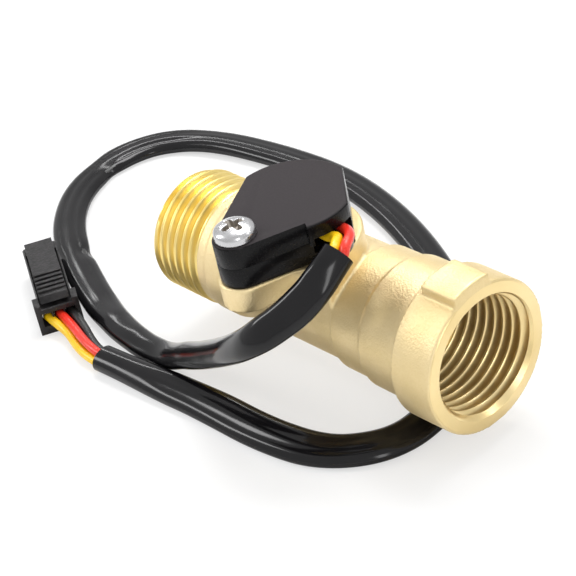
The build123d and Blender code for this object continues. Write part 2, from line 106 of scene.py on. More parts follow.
def as_object(name, mesh):
    """A Blender object from a mesh in the making."""
    data = bpy.data.meshes.new(name)
    mesh.to_mesh(data)
    mesh.free()
    thing = bpy.data.objects.new(name, data)
    bpy.context.scene.collection.objects.link(thing)
    shade_smooth(thing)
    return thing


def with_modifiers(thing):
    """The same object with its modifiers worked into its mesh."""
    depsgraph = bpy.context.evaluated_depsgraph_get()
    done = bpy.data.meshes.new_from_object(thing.evaluated_get(depsgraph))
    thing.modifiers.clear()
    old = thing.data
    thing.data = done
    bpy.data.meshes.remove(old)
    return thing


def to_metres(thing):
    thing.data.transform(Matrix.Scale(MM, 4))


def around_two_circles(centre_a, radius_a, centre_b, radius_b, steps=120):
    """The outline that a band round two circles would have."""
    run = Vector(centre_b) - Vector(centre_a)
    heading = atan2(run.y, run.x)
    lean = acos((radius_a - radius_b) / run.length)
    points = []
    for k in range(steps + 1):
        angle = heading + lean + (tau - 2 * lean) * k / steps
        points.append((centre_a[0] + radius_a * cos(angle), centre_a[1] + radius_a * sin(angle)))
    for k in range(steps // 2 + 1):
        angle = heading - lean + 2 * lean * k / (steps // 2)
        points.append((centre_b[0] + radius_b * cos(angle), centre_b[1] + radius_b * sin(angle)))
    return points


# The sensor's lobe and the boss of its screw, by their centres in plan
lobe = (-31.4, -5.1)
boss_reach, boss_lean = 12.11, radians(4.0)
boss = (lobe[0] + boss_reach * sin(boss_lean), lobe[1] - boss_reach * cos(boss_lean))
casting = turned_solid([
    (-53.9, 0), (-53.9, 10.25), (-51.9, 10.25), (-51.5, 10.5), (-48.0, 10.5), (-46.9, 9.75),
    (-22.1, 9.75), (-22.1, 10.38), (-15.4, 10.42), (-15.4, 10.98), (-6.9, 11.02),
    (-6.9, 12.45), (1.05, 12.45), (1.05, 0),
])
pad_low, pad_top = 9.5, 13.7
pad_r, saddle_half_width = 10.15, 9.0
pad_outline = around_two_circles(lobe, 9.2, boss, 4.1)
pad_round = [(lobe[0] + pad_r * cos(tau * k / 160), lobe[1] + pad_r * sin(tau * k / 160))
             for k in range(160)]
saddle_outline = [(x, min(saddle_half_width, max(-saddle_half_width, y))) for x, y in pad_round]
lug_x, lug_z = -2.3, 11.3
lug_long, lug_wide, lug_high = 7.0, 7.5, 5.2
lug_top_r = 14.0
lug_mesh = bmesh.new()
bmesh.ops.create_cube(lug_mesh, size=1)
for corner in lug_mesh.verts:
    corner.co = Vector((
        lug_x + lug_long * corner.co.x, lug_wide * corner.co.y, lug_z + lug_high * corner.co.z
    ))
edges_across = [e for e in lug_mesh.edges if abs((e.verts[0].co - e.verts[1].co).y) > lug_wide / 2]
bmesh.ops.subdivide_edges(lug_mesh, edges=edges_across, cuts=8)
for corner in lug_mesh.verts:
    if corner.co.z > lug_z:
        corner.co.z = sqrt(lug_top_r ** 2 - corner.co.y ** 2)
bmesh.ops.rotate(lug_mesh, verts=lug_mesh.verts, matrix=Matrix.Rotation(radians(2.8), 3, "X"))
skin = bmesh.new()
moulds = (
    casting, slab(pad_outline, pad_low, pad_top), slab(pad_round, pad_low, pad_top),
    slab(saddle_outline, 3.25, 9.6), lug_mesh,
)
for mould in moulds:
    piece_data = bpy.data.meshes.new("mould")
    mould.to_mesh(piece_data)
    mould.free()
    skin.from_mesh(piece_data)
    bpy.data.meshes.remove(piece_data)
cast_body = as_object("cast_body", skin)
whole = cast_body.modifiers.new("one skin", "REMESH")
whole.mode = "VOXEL"
whole.voxel_size = 0.25
soften = cast_body.modifiers.new("soft mould edges", "SMOOTH")
soften.factor = 0.5
soften.iterations = 2
with_modifiers(cast_body)
bore_core = as_object("bore_core", turned_solid([
    (-60, 0), (-60, 9.3), (-50.5, 9.3), (-50.5, 8.9), (-15.2, 8.9), (-15.2, 10.6), (5, 10.6), (5, 0),
], steps=120))
drill = cast_body.modifiers.new("bores", "BOOLEAN")
drill.operation = "DIFFERENCE"
drill.object = bore_core
drill.solver = "MANIFOLD"
with_modifiers(cast_body)
bpy.data.objects.remove(bore_core)
# The sand's grain is on the outer skin, short of the machined face
outer_skin_r2 = 94
skin_ends_x = 0.8
grains_per_mm, grain_height = 2.3, 0.013
outward = [corner.normal.copy() for corner in cast_body.data.vertices]
for corner, normal in zip(cast_body.data.vertices, outward):
    if corner.co.y ** 2 + corner.co.z ** 2 > outer_skin_r2 and corner.co.x < skin_ends_x:
        grit = noise.noise(corner.co * grains_per_mm) * grain_height
        corner.co += normal * grit
shade_smooth(cast_body)
to_metres(cast_body)


def finish(name, dark, pale, rough, metal=0.0, grain=0.4, depth=0.01, patches=6.0, gloss=0.5):
    """A surface whose colour and sheen vary, with a fine grain; grain, depth and patches in mm."""
    material = bpy.data.materials.new(name)
    material.use_nodes = True
    nodes, links = material.node_tree.nodes, material.node_tree.links
    shader = nodes["Principled BSDF"]
    shader.inputs["Metallic"].default_value = metal
    shader.inputs["Specular IOR Level"].default_value = gloss
    place = nodes.new("ShaderNodeTexCoord")
    broad = nodes.new("ShaderNodeTexNoise")
    broad.inputs["Scale"].default_value = 1000 / patches
    broad.inputs["Detail"].default_value = 4
    links.new(place.outputs["Object"], broad.inputs["Vector"])
    fine = nodes.new("ShaderNodeTexNoise")
    fine.inputs["Scale"].default_value = 1000 / grain
    fine.inputs["Detail"].default_value = 3
    links.new(place.outputs["Object"], fine.inputs["Vector"])
    spread = nodes.new("ShaderNodeMapRange")
    spread.inputs["From Min"].default_value = 0.35
    spread.inputs["From Max"].default_value = 0.65
    links.new(broad.outputs["Fac"], spread.inputs["Value"])
    colour = nodes.new("ShaderNodeMix")
    colour.data_type = "RGBA"
    colour.inputs["A"].default_value = (*dark, 1)
    colour.inputs["B"].default_value = (*pale, 1)
    links.new(spread.outputs["Result"], colour.inputs["Factor"])
    links.new(colour.outputs["Result"], shader.inputs["Base Color"])
    sheen = nodes.new("ShaderNodeMapRange")
    sheen.inputs["From Min"].default_value = 0.3
    sheen.inputs["From Max"].default_value = 0.7
    sheen.inputs["To Min"].default_value = rough[0]
    sheen.inputs["To Max"].default_value = rough[1]
    links.new(fine.outputs["Fac"], sheen.inputs["Value"])
    links.new(sheen.outputs["Result"], shader.inputs["Roughness"])
    bump = nodes.new("ShaderNodeBump")
    bump.inputs["Distance"].default_value = depth * MM
    links.new(fine.outputs["Fac"], bump.inputs["Height"])
    links.new(bump.outputs["Normal"], shader.inputs["Normal"])
    return material


# The boring leaves an empty slot
cast_body.data.materials.clear()
cast_body.data.materials.append(finish(
    "sand cast brass", (0.70, 0.56, 0.30), (0.77, 0.63, 0.37), (0.44, 0.56),
    metal=1.0, grain=0.32, depth=0.085, patches=9
))
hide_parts("brass_body")
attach(cast_body, "sensor")


# The two ends and the bore are cut in the casting: G 1/2 threads of 14 to the inch, the mouth's
# face and chamfer, and the chamber for the turbine. The tool leaves them bright and yellow
pitch = 1.814
minor_r, major_r = 9.316, 10.478
mouth_face, mouth_r, female_ends = 1.21, 10.28, -14.6
tail_end, tail_r = -65.3, 9.45
neck_x, neck_r = -53.8, 10.3
# One turn of the thread's section: share of the pitch, and share of the height
thread_section = [
    (0.0, 0.0), (0.07, 0.02), (0.12, 0.14), (0.22, 0.42), (0.32, 0.74), (0.40, 0.95), (0.46, 1.0),
    (0.54, 1.0), (0.60, 0.95), (0.68, 0.74), (0.78, 0.42), (0.88, 0.14), (0.93, 0.02),
]


def cut_thread(mesh, x_from, x_to, root, crest, start, trim, steps=168):
    """Adds a right-hand thread: rows that climb along X as they go round, trimmed at its ends."""
    turns = ceil((x_to - x_from) / pitch) + 2
    first = x_from - pitch - (x_from - start) % pitch
    rows = []
    for turn in range(turns + 1):
        for share, height in thread_section:
            row = []
            for k in range(steps):
                x = min(x_to, max(x_from, first + (turn + share + k / steps) * pitch))
                r = trim(x, root + (crest - root) * height)
                row.append(mesh.verts.new((x, r * cos(tau * k / steps), r * sin(tau * k / steps))))
            rows.append(row)
    per_turn = len(thread_section)
    for i in range(len(rows) - 1):
        for k in range(steps):
            if k + 1 < steps:
                quad = (rows[i][k], rows[i][k + 1], rows[i + 1][k + 1], rows[i + 1][k])
            elif i + 1 + per_turn < len(rows):
                quad = (rows[i][k], rows[i + per_turn][0], rows[i + 1 + per_turn][0], rows[i + 1][k])
            else:
                continue
            if len({tuple(round(c, 4) for c in v.co) for v in quad}) > 2:
                mesh.faces.new(quad)


def turned_skin(mesh, profile, steps=168):
    """Adds an open surface turned about X."""
    rings = [[mesh.verts.new((x, r * cos(tau * k / steps), r * sin(tau * k / steps)))
              for k in range(steps)] for x, r in profile]
    for near, far in zip(rings, rings[1:]):
        for k in range(steps):
            n = (k + 1) % steps
            mesh.faces.new((near[k], near[n], far[n], far[k]))


def mouth_trim(x, r):
    """The mouth's chamfer cuts the female thread's crests, and the thread runs out at the chamber."""
    chamfer = minor_r + (mouth_r - minor_r) * max(0, x) / mouth_face
    r = min(max(r, chamfer), mouth_r + 0.6 * (mouth_face - x))
    cut_depth = min(1, (x - female_ends) / 1.4)
    return minor_r + (r - minor_r) * cut_depth


def tail_trim(x, r):
    """The tail's chamfer cuts the male thread's crests, and the thread runs out on to the neck."""
    r = max(min(r, tail_r + (x - tail_end)), tail_r - 0.6 * (x - tail_end))
    cut_depth = min(1, max(0, (neck_x - x) / 1.1))
    return neck_r + (r - neck_r) * cut_depth


machined = bmesh.new()
cut_thread(machined, female_ends, mouth_face, major_r, minor_r, -0.49 + 0.36 * pitch, mouth_trim)
cut_thread(machined, tail_end, neck_x, minor_r, major_r, -62.94 - 0.86 * pitch, tail_trim)
mouth_cut = [(mouth_face, mouth_r), (mouth_face, 12.0), (1.15, 12.12), (0.9, 12.25)]
chamber_cut = [
    (female_ends, minor_r), (female_ends, 8.1), (-15.42, 8.1), (-15.42, 8.8), (-16.42, 8.8), (-16.42, 8.1),
    (-37.73, 8.1), (-37.73, 7.3), (-64.9, 7.3), (tail_end, 7.6), (tail_end, tail_r),
]
neck_cut = [(neck_x, neck_r), (-53.6, 10.2)]
for cut in (mouth_cut, chamber_cut, neck_cut):
    turned_skin(machined, cut)
bmesh.ops.remove_doubles(machined, verts=machined.verts, dist=0.002)
machined_brass = as_object("machined_brass", machined)
machined_brass.data.set_sharp_from_angle(angle=radians(38))
to_metres(machined_brass)
machined_brass.data.materials.append(finish(
    "cut brass", (0.79, 0.61, 0.20), (0.86, 0.68, 0.27), (0.30, 0.38),
    metal=1.0, grain=0.9, depth=0.001, patches=14
))
machined_brass.data.materials.append(finish(
    "bored brass", (0.72, 0.56, 0.27), (0.80, 0.64, 0.34), (0.30, 0.38),
    metal=1.0, grain=0.9, depth=0.001, patches=14
))
# The male end keeps the brighter cut, the bore and the mouth are duller
male_end_to = -0.052
for polygon in machined_brass.data.polygons:
    polygon.material_index = int(polygon.center.x > male_end_to)
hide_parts("brass_body")
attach(machined_brass, "sensor")


# The turbine's cartridge slides into the chamber: a moulded guide and cage on an O-ring, held by a
# spring ring, with a steel shaft between two thrust washers, and the rotor with its ferrite magnet
def dress(node, material):
    """Gives a solid of the frame its real finish."""
    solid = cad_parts[node]
    solid.data.materials.clear()
    solid.data.materials.append(material)
    for polygon in solid.data.polygons:
        polygon.material_index = 0


moulded_white = finish(
    "white acetal", (0.70, 0.70, 0.67), (0.78, 0.78, 0.75), (0.36, 0.46), grain=0.5, depth=0.004
)
wheel_white = finish(
    "white rotor", (0.66, 0.68, 0.68), (0.76, 0.78, 0.78), (0.32, 0.42), grain=0.4, depth=0.004
)
spring_steel = finish(
    "spring steel", (0.42, 0.42, 0.43), (0.58, 0.58, 0.59), (0.26, 0.36), metal=1.0, grain=0.3
)
ground_steel = finish(
    "ground steel", (0.60, 0.60, 0.61), (0.68, 0.68, 0.69), (0.14, 0.22), metal=1.0, grain=0.15, depth=0.002
)
ferrite = finish(
    "sintered ferrite", (0.055, 0.055, 0.06), (0.085, 0.085, 0.09), (0.42, 0.58), grain=0.15
)
seal_rubber = finish("seal rubber", (0.02, 0.02, 0.02), (0.035, 0.035, 0.035), (0.38, 0.5), grain=0.2)
for node, material in (
    ("flow_guide", moulded_white), ("rotor_cage", moulded_white), ("front_washer", moulded_white),
    ("rear_washer", moulded_white), ("impeller", wheel_white), ("retaining_ring", spring_steel),
    ("rotor_shaft", ground_steel), ("magnet_ring", ferrite), ("insert_o_ring", seal_rubber),
):
    dress(node, material)


# The sensor housing is two black nylon mouldings. The base sits on the pad with a peg in it, and
# the lid has a matt grey top, glossy sides and an open side for the wires
black_moulding = finish(
    "black nylon", (0.004, 0.004, 0.0045), (0.007, 0.0065, 0.007), (0.20, 0.30),
    grain=0.5, depth=0.006, patches=4, gloss=0.14
)


def eased_moulding(name, node, ease, material):
    """A moulding in the shape of its solid, with the small round that a mould leaves on each edge."""
    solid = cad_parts[node]
    mesh = bmesh.new()
    mesh.from_mesh(solid.data)
    bmesh.ops.remove_doubles(mesh, verts=mesh.verts, dist=0.000002)
    bmesh.ops.dissolve_limit(mesh, angle_limit=radians(1), verts=mesh.verts, edges=mesh.edges)
    moulding = as_object(name, mesh)
    rounds = moulding.modifiers.new("eased edges", "BEVEL")
    rounds.width = ease * MM
    rounds.segments = 2
    rounds.limit_method = "ANGLE"
    rounds.angle_limit = radians(35)
    with_modifiers(moulding)
    moulding.data.set_sharp_from_angle(angle=radians(40))
    moulding.data.materials.append(material)
    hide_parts(node)
    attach(moulding, "sensor")
    return moulding


eased_moulding("sensor_base_moulding", "sensor_base", 0.16, black_moulding)


def lid_finish():
    """Black nylon that is a lighter, duller dark grey on its faces that look up."""
    material = finish(
        "dull topped nylon", (0.004, 0.004, 0.0045), (0.007, 0.0065, 0.007), (0.20, 0.30),
        grain=0.35, depth=0.006, patches=4, gloss=0.14
    )
    nodes, links = material.node_tree.nodes, material.node_tree.links
    shader = nodes["Principled BSDF"]
    place = nodes.new("ShaderNodeNewGeometry")
    split = nodes.new("ShaderNodeSeparateXYZ")
    links.new(place.outputs["Normal"], split.inputs["Vector"])
    facing_up = nodes.new("ShaderNodeMapRange")
    facing_up.inputs["From Min"].default_value = 0.55
    facing_up.inputs["From Max"].default_value = 0.98
    links.new(split.outputs["Z"], facing_up.inputs["Value"])
    top = nodes.new("ShaderNodeMix")
    top.data_type = "RGBA"
    top.inputs["B"].default_value = (0.032, 0.027, 0.029, 1)
    links.new(facing_up.outputs["Result"], top.inputs["Factor"])
    links.new(shader.inputs["Base Color"].links[0].from_socket, top.inputs["A"])
    links.new(top.outputs["Result"], shader.inputs["Base Color"])
    dull = nodes.new("ShaderNodeMath")
    dull.operation = "MULTIPLY_ADD"
    dull.inputs[1].default_value = 0.30
    links.new(facing_up.outputs["Result"], dull.inputs[0])
    links.new(shader.inputs["Roughness"].links[0].from_socket, dull.inputs[2])
    links.new(dull.outputs["Value"], shader.inputs["Roughness"])
    return material


eased_moulding("sensor_lid", "sensor_cover", 0.16, lid_finish())


# The sensor's electronics lie under the lid: a small board on a ledge, the Hall chip below it with
# three bent leads, two chip parts and the solder that holds the wires
solder_mask = finish(
    "green solder mask", (0.010, 0.11, 0.035), (0.018, 0.16, 0.055), (0.22, 0.32), grain=0.3
)
epoxy = finish("black epoxy", (0.018, 0.018, 0.018), (0.03, 0.03, 0.03), (0.45, 0.55), grain=0.2)
fired_ceramic = finish(
    "fired ceramic", (0.36, 0.27, 0.17), (0.48, 0.38, 0.26), (0.4, 0.55), grain=0.2, patches=1
)
bright_solder = finish(
    "solder", (0.55, 0.55, 0.56), (0.68, 0.68, 0.69), (0.18, 0.30), metal=1.0, grain=0.4
)
for node, material in (
    ("circuit_board", solder_mask), ("hall_chip", epoxy), ("board_resistor", fired_ceramic),
    ("board_capacitor", fired_ceramic), ("solder_joints", bright_solder),
):
    dress(node, material)


# The lid's one screw is plated steel with a domed pan head and a deep cross recess. It goes
# through both mouldings into the pad
head_r, head_height, lid_top = 3.3, 2.2, 21.0
shank_r, shank_end = 1.7, -10.5
plating_grid = 0.07


def dome_share(flatness):
    """Share of the head's height at a place: 1 on its axis, where flatness is 1, and less at its rim."""
    return 0.34 + 0.66 * flatness ** 0.8


def dome_level(x, y):
    """Height of the head's dome over a place in plan."""
    out = Vector((x - boss[0], y - boss[1])).length
    return out, lid_top + head_height * dome_share(sqrt(max(0, 1 - (out / head_r) ** 2)))


def pan_head():
    """A domed head over a plain shank, turned about Z from its own profile."""
    profile = [(0.0, head_height)]
    for ring in range(1, 25):
        lean = ring / 24 * pi / 2
        profile.append((head_r * sin(lean), head_height * dome_share(cos(lean))))
    profile += [
        (head_r, 0.06), (head_r - 0.08, 0.0), (shank_r, 0.0), (shank_r, shank_end + 0.5),
        (shank_r - 0.3, shank_end), (0.0, shank_end),
    ]
    mesh = turned_solid([(level, out) for out, level in reversed(profile)], steps=120)
    bmesh.ops.rotate(mesh, verts=mesh.verts, matrix=Matrix.Rotation(radians(-90), 3, "Y"))
    return mesh


def cross_punch(turn):
    """The driver's cross, as the punch that presses it: four wings that narrow on the way down."""
    mesh = bmesh.new()
    rows = []
    for level, wide, reach in ((2.9, 0.64, 2.35), (1.9, 0.52, 2.0), (1.0, 0.36, 1.2), (0.75, 0.16, 0.4)):
        row = []
        wing = (
            (wide, -wide), (reach - 0.2, -wide), (reach, -wide * 0.4),
            (reach, wide * 0.4), (reach - 0.2, wide),
        )
        for quarter in range(4):
            for along, across in wing:
                spot = Vector((along, across))
                spot.rotate(Matrix.Rotation(quarter * pi / 2 + turn, 2))
                row.append(mesh.verts.new((spot.x, spot.y, level)))
        rows.append(row)
    for high, low in zip(rows, rows[1:]):
        for k in range(len(high)):
            n = (k + 1) % len(high)
            mesh.faces.new((high[k], high[n], low[n], low[k]))
    mesh.faces.new(rows[0])
    mesh.faces.new(rows[-1][::-1])
    bmesh.ops.recalc_face_normals(mesh, faces=mesh.faces)
    return mesh


screw = as_object("pan_head_screw", pan_head())
punch = as_object("punch", cross_punch(radians(-4)))
recess = screw.modifiers.new("recess", "BOOLEAN")
recess.operation = "DIFFERENCE"
recess.object = punch
recess.solver = "EXACT"
plated = screw.modifiers.new("plated skin", "REMESH")
plated.mode = "VOXEL"
plated.voxel_size = plating_grid
plated.use_smooth_shade = True
soften = screw.modifiers.new("plated edges", "SMOOTH")
soften.factor = 0.5
soften.iterations = 8
with_modifiers(screw)
bpy.data.objects.remove(punch)
screw.data.transform(Matrix.Translation((boss[0], boss[1], lid_top)))
for corner in screw.data.vertices:
    out, dome = dome_level(corner.co.x, corner.co.y)
    if out < head_r - 0.2 and abs(corner.co.z - dome) < plating_grid:
        corner.co.z = dome
shade_smooth(screw)
to_metres(screw)
screw.data.materials.append(finish(
    "plated steel", (0.50, 0.50, 0.51), (0.60, 0.60, 0.61), (0.22, 0.30), metal=1.0, grain=0.8, depth=0.002
))
# The cross recess gets a darker, browner steel: painted shade, so the recess reads dark
screw.data.materials.append(finish(
    "steel with painted recess shade", (0.30, 0.27, 0.24), (0.40, 0.37, 0.33), (0.36, 0.46), metal=1.0, grain=0.5
))
recess_reach, recess_from = 2.6, 0.16
for polygon in screw.data.polygons:
    out, dome = dome_level(polygon.center.x / MM, polygon.center.y / MM)
    painted_recess_shade = out < recess_reach and lid_top < polygon.center.z / MM < dome - recess_from
    polygon.material_index = int(painted_recess_shade)
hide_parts("cover_screw")
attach(screw, "sensor")


# The plug is one black nylon moulding with a sprung latch arm, ribbed for a thumb, and three tinned
# contacts crimped on the wires
plug_nylon = finish(
    "plug nylon", (0.008, 0.0075, 0.008), (0.022, 0.020, 0.021), (0.30, 0.44),
    grain=0.45, depth=0.05, patches=1.6, gloss=0.25
)
tinned = finish("tinned brass", (0.62, 0.61, 0.58), (0.72, 0.71, 0.68), (0.22, 0.32), metal=1.0, grain=0.3)
plug_housing = eased_moulding("plug_housing", "connector_housing", 0.09, plug_nylon)
dress("connector_terminals", tinned)


# The cable is a soft black PVC sleeve, pressed flat in places, over three insulated wires. It
# leaves the housing, goes down beside it, round in a wide loop on the table and on to the plug
route = [
    (-0.0171, -0.0092, 0.0178), (-0.017, -0.0126, 0.0162), (-0.0181, -0.0159, 0.0134),
    (-0.0208, -0.0188, 0.0103), (-0.025, -0.0227, 0.0069), (-0.0316, -0.0222, 0.0022),
    (-0.0386, -0.0204, -0.0026), (-0.0453, -0.019, -0.0068), (-0.0519, -0.0179, -0.0103),
    (-0.0586, -0.0172, -0.0128), (-0.0656, -0.0169, -0.01395), (-0.073, -0.0156, -0.01395),
    (-0.081, -0.0132, -0.01395), (-0.09, -0.0096, -0.01395), (-0.0995, -0.0052, -0.01395),
    (-0.1086, 0.001, -0.01395), (-0.1152, 0.0096, -0.01395), (-0.1172, 0.0204, -0.01395),
    (-0.113, 0.0298, -0.01395), (-0.1028, 0.0348, -0.01395), (-0.089, 0.0373, -0.01395),
    (-0.074, 0.0382, -0.01395), (-0.0588, 0.0354, -0.01395), (-0.0434, 0.0296, -0.01395),
    (-0.029, 0.0216, -0.01395), (-0.0172, 0.0114, -0.01395), (-0.0108, 0.0004, -0.01395),
    (-0.0104, -0.011, -0.01395), (-0.018, -0.0192, -0.01395), (-0.03, -0.0214, -0.01395),
    (-0.043, -0.0214, -0.01395), (-0.056, -0.0224, -0.01395), (-0.0682, -0.0233, -0.01395),
]
# How the sleeve lies at each point of its route: its roll in degrees, and how flat it is
lie = [
    (38, 0.45), (46, 0.65), (56, 0.75), (58, 0.65), (56, 0.45), (50, 0.3), (44, 0.25),
    (34, 0.25), (24, 0.25), (16, 0.3), (10, 0.4), (5, 0.6), (2, 0.9), (0, 1.0),
    (0, 1.0), (0, 1.0), (-4, 1.0), (-8, 1.0), (-6, 0.95), (0, 0.8), (0, 0.85),
    (0, 0.9), (0, 0.9), (0, 0.9), (0, 0.95), (0, 0.95), (4, 0.9), (8, 0.9),
    (14, 0.9), (20, 1.0), (24, 1.0), (20, 0.85), (10, 0.35),
]
# Where an edge of the sleeve is pinched: the place by the route's points, and how far it spreads
pinches = [(13.7, 0.22), (16.6, 0.25), (24.4, 0.2)]


def cord_line(name, points):
    """The smooth line that a soft cord follows, with the route's points as its control points."""
    curve = bpy.data.curves.new(name, "CURVE")
    curve.dimensions = "3D"
    curve.resolution_u = 12
    spline = curve.splines.new("NURBS")
    spline.points.add(len(points) - 1)
    for point, place in zip(spline.points, points):
        point.co = (*place, 1)
    spline.order_u = 3
    spline.use_endpoint_u = True
    line = bpy.data.objects.new(name, curve)
    bpy.context.scene.collection.objects.link(line)
    mesh = bpy.data.meshes.new_from_object(line)
    path = [v.co.copy() for v in mesh.vertices]
    bpy.data.objects.remove(line)
    bpy.data.meshes.remove(mesh)
    return path


def headings(points):
    """The direction of travel at each point."""
    last = len(points) - 1
    return [(Vector(points[min(k + 1, last)]) - Vector(points[max(k - 1, 0)])).normalized()
            for k in range(len(points))]


def side_and_up(heading, roll):
    """The flat sleeve's two cross directions, rolled about its heading."""
    side = heading.cross(Vector((0, 0, 1))).normalized()
    up = side.cross(heading)
    return (side * cos(roll) + up * sin(roll)), (up * cos(roll) - side * sin(roll))


def soft_tube(path, section, closed_ends=True):
    """A tube along a path; section gives the offset of each corner of each ring."""
    mesh = bmesh.new()
    rings = [[mesh.verts.new(Vector(place) + corner) for corner in section(k)]
             for k, place in enumerate(path)]
    for near, far in zip(rings, rings[1:]):
        for k in range(len(near)):
            n = (k + 1) % len(near)
            mesh.faces.new((near[k], near[n], far[n], far[k]))
    if closed_ends:
        mesh.faces.new(rings[0][::-1])
        mesh.faces.new(rings[-1])
    bmesh.ops.recalc_face_normals(mesh, faces=mesh.faces)
    return mesh


sleeve_path = cord_line("sleeve_line", route)
sleeve_heading = headings(sleeve_path)
table_z = -0.0161
# The route's height where the sleeve lies on the table, and the height over which it settles there
lying_z, settles_over = -0.01395, 0.0045
sleeve_corners = 48
sleeve_wall = 0.32


def along_route(values, k):
    """A value of the route's points, at ring k of the path."""
    at = k / (len(sleeve_path) - 1) * (len(values) - 1)
    low = min(int(at), len(values) - 2)
    share = at - low
    share = share * share * (3 - 2 * share)
    return values[low] + (values[low + 1] - values[low]) * share


def half_size(flat, inset):
    """Half the sleeve's width and height in mm, less an inset; it is round at 0 and flat at 1."""
    return 2.15 + 0.95 * flat - inset, 2.12 - 0.86 * flat - inset


def sleeve_section(place, heading, roll, flat, wall, pinch=0.0, along=0.0):
    """The sleeve's section at a place: an oval over three wires, which settles on to the table."""
    across, up = side_and_up(heading, roll)
    width, height = half_size(flat, wall)
    half_width = width * (1 - 0.12 * pinch) * MM
    half_height = height * MM
    power = 2 / (2.0 + 0.45 * flat)
    ring = []
    for c in range(sleeve_corners):
        angle = tau * c / sleeve_corners
        a = abs(cos(angle)) ** power * (1 if cos(angle) > 0 else -1)
        b = abs(sin(angle)) ** power * (1 if sin(angle) > 0 else -1)
        valleys = (0.5 - 0.5 * cos(3 * pi * a)) * sqrt(1 - abs(a))
        between_wires = 1 - 0.16 * max(0, 2.5 * flat - 1.5) * valleys
        ripple = 0.06 * MM * noise.noise(Vector((along * 0.5, 0.5 * a, 0.4 * b + 7)))
        fold = -0.6 * MM * pinch * max(0, a) * (1 if b > 0 else 0.2)
        ring.append(across * (half_width * a) + up * (half_height * b * between_wires + ripple + fold))
    on_table = min(1, max(0, 1 - (place.z - lying_z) / settles_over)) ** 2
    drop = (place.z + min(corner.z for corner in ring) - table_z - wall * MM) * on_table
    return [corner - Vector((0, 0, drop)) for corner in ring]


def sleeve_ring(k, wall):
    """The sleeve's section at ring k of its path."""
    at = k / (len(sleeve_path) - 1) * (len(route) - 1)
    pinch = sum(exp(-((at - centre) / span) ** 2) for centre, span in pinches)
    roll = radians(along_route([roll for roll, flat in lie], k))
    flat = along_route([flat for roll, flat in lie], k)
    return sleeve_section(sleeve_path[k], sleeve_heading[k], roll, flat, wall, pinch, at)


sleeve_skin = soft_tube(sleeve_path, lambda k: sleeve_ring(k, 0), closed_ends=False)
inside_skin = soft_tube(sleeve_path, lambda k: sleeve_ring(k, sleeve_wall), closed_ends=False)
inside_data = bpy.data.meshes.new("inside")
inside_skin.to_mesh(inside_data)
inside_skin.free()
sleeve_skin.from_mesh(inside_data)
bpy.data.meshes.remove(inside_data)
# The cut ends join the outside to the inside
sleeve_skin.verts.ensure_lookup_table()
places = sleeve_skin.verts
half = len(places) // 2
for start in (0, half - sleeve_corners):
    for k in range(sleeve_corners):
        n = (k + 1) % sleeve_corners
        sleeve_skin.faces.new((places[start + k], places[start + n],
                               places[half + start + n], places[half + start + k]))
bmesh.ops.recalc_face_normals(sleeve_skin, faces=sleeve_skin.faces)
sleeve = as_object("cable_sleeve_skin", sleeve_skin)
sleeve.data.set_sharp_from_angle(angle=radians(60))
sleeve.data.materials.append(finish(
    "glossy soft PVC", (0.004, 0.0037, 0.0045), (0.007, 0.0065, 0.0075), (0.12, 0.16),
    grain=5.0, patches=8, gloss=0.30
))
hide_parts("cable_sleeve")
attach(sleeve, "sensor")


# Three stranded copper wires in coloured PVC run from the solder joints, through the whole sleeve,
# to the contacts in the plug
wire_r, wire_sides, wire_length = 0.8, 14, 0.366
# How far a wire's middle stays in from the sleeve's outside, and how far along a pinch moves it
wire_inset, pinch_reach = 1.25, 0.6
# Up to the first of these points of the route the wires lie in a row, then in a bundle that turns
# over, and from the second in a row again
bundle_from, bundle_to = 5, 10


def wire_route(sensor_tail, mouth, far, plug_tail):
    """A wire's points: its own ends, and in between its place in the sleeve. The three lie in a row
    where the sleeve is flat, and in a bundle that turns over where it is round."""
    middle = []
    ways = headings([Vector(p) for p in route])
    from_turn = atan2(mouth[1] - 0.1, mouth[0])
    to_turn = atan2(far[1] - 0.1, far[0])
    for k, (place, (roll, flat)) in enumerate(zip(route, lie)):
        side, up = side_and_up(ways[k], radians(roll))
        section = sleeve_section(Vector(place), ways[k], radians(roll), flat, sleeve_wall)
        centre = Vector(place) + sum(section, Vector()) / len(section)
        width, height = half_size(flat, wire_inset)
        if k == 0:
            across, rise = mouth
        elif k == len(route) - 1:
            across, rise = far
        elif k < bundle_from:
            across, rise = width * mouth[0] / 0.85, 0
        elif k < bundle_to:
            turn = from_turn + (to_turn - from_turn) * (k - bundle_from + 1) / (bundle_to - bundle_from + 1)
            across, rise = 0.9 * width * cos(turn), 0.9 * height * sin(turn)
        else:
            squeeze = sum(exp(-((k - pinch_at) / pinch_reach) ** 2) for pinch_at, spread in pinches)
            across, rise = width * far[0] / 1.05 * (1 - 0.3 * squeeze * (far[0] > 0)), 0
        middle.append(tuple(centre + side * across * MM + up * rise * MM))
    return sensor_tail + middle + plug_tail


def wire_piece(name, points, material, node):
    """One insulated wire along its points."""
    path = cord_line(name + "_line", points)
    ways = headings(path)

    def ring(k):
        side, up = side_and_up(ways[k], 0)
        angles = [tau * c / wire_sides for c in range(wire_sides)]
        return [side * (wire_r * MM * cos(angle)) + up * (wire_r * MM * sin(angle)) for angle in angles]

    wire = as_object(name, soft_tube(path, ring))
    wire.data.materials.append(material)
    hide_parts(node)
    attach(wire, "sensor")


